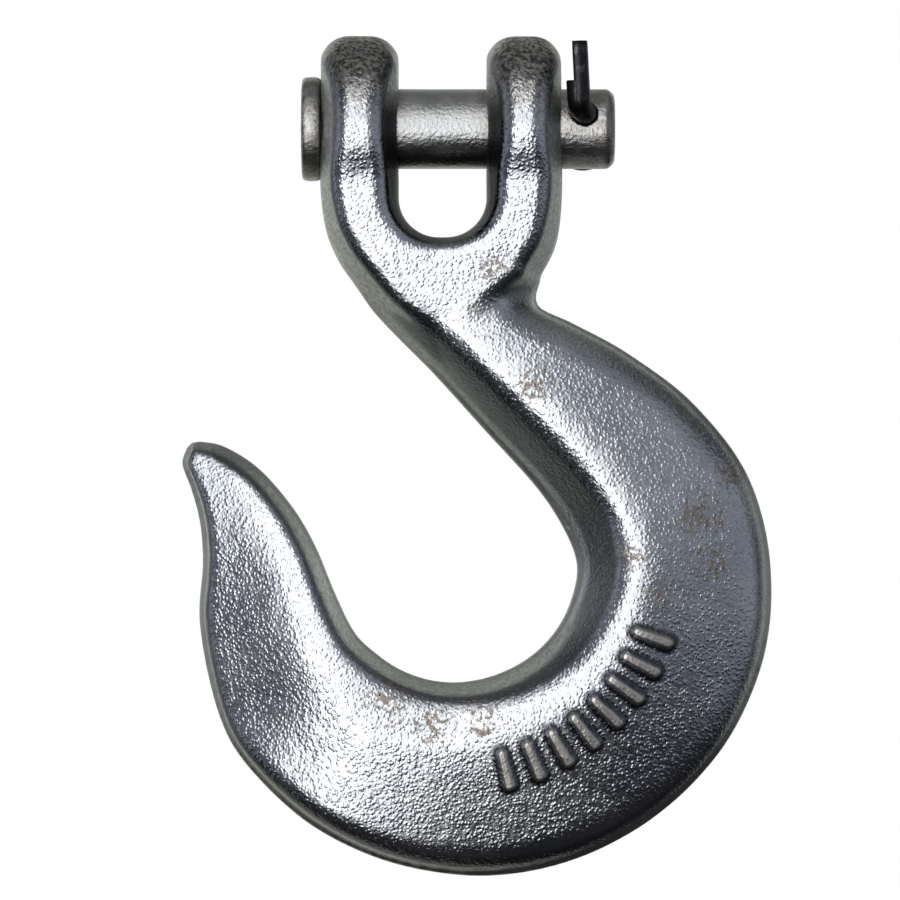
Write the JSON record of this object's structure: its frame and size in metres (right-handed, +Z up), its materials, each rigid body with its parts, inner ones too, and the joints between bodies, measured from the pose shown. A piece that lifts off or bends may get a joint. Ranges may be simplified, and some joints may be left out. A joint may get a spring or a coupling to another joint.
{
  "type": "clevis slip hook",
  "caption": "Forged clevis slip hook with an open tapered bowl, held to a chain end by a headed clevis pin and a bent cotter pin.",
  "frame": {"origin": "on the clevis pin's axis, midway between the two ears", "axes": "+X along the clevis pin towards its cotter end, +Y to the back through the thickness, +Z up with the hook hanging from the pin"},
  "size_m": [0.0818, 0.0258, 0.1166],
  "materials": {
    "hook_zinc": "zinc-plated drop forging, orange-peel scale texture, semi-gloss",
    "pin_zinc": "zinc-plated turned and headed pin, faintly drawn surface",
    "cotter_black": "black oxide steel wire, satin"
  },
  "bodies": {
    "hook": {"hook_body": "hook_zinc"},
    "pin": {"clevis_pin": "pin_zinc"},
    "cotter": {"cotter_pin": "cotter_black"}
  },
  "joints": [
    {"name": "pin_turn", "type": "hinge", "parent": "hook", "child": "pin", "pos_m": [0, 0, 0], "axis": [1, 0, 0], "continuous": true},
    {"name": "cotter_turn", "type": "hinge", "parent": "pin", "child": "cotter", "pos_m": [0.0199, 0, 0], "axis": [0, -0.9397, 0.342], "range_deg": [-195, 12]}
  ]
}
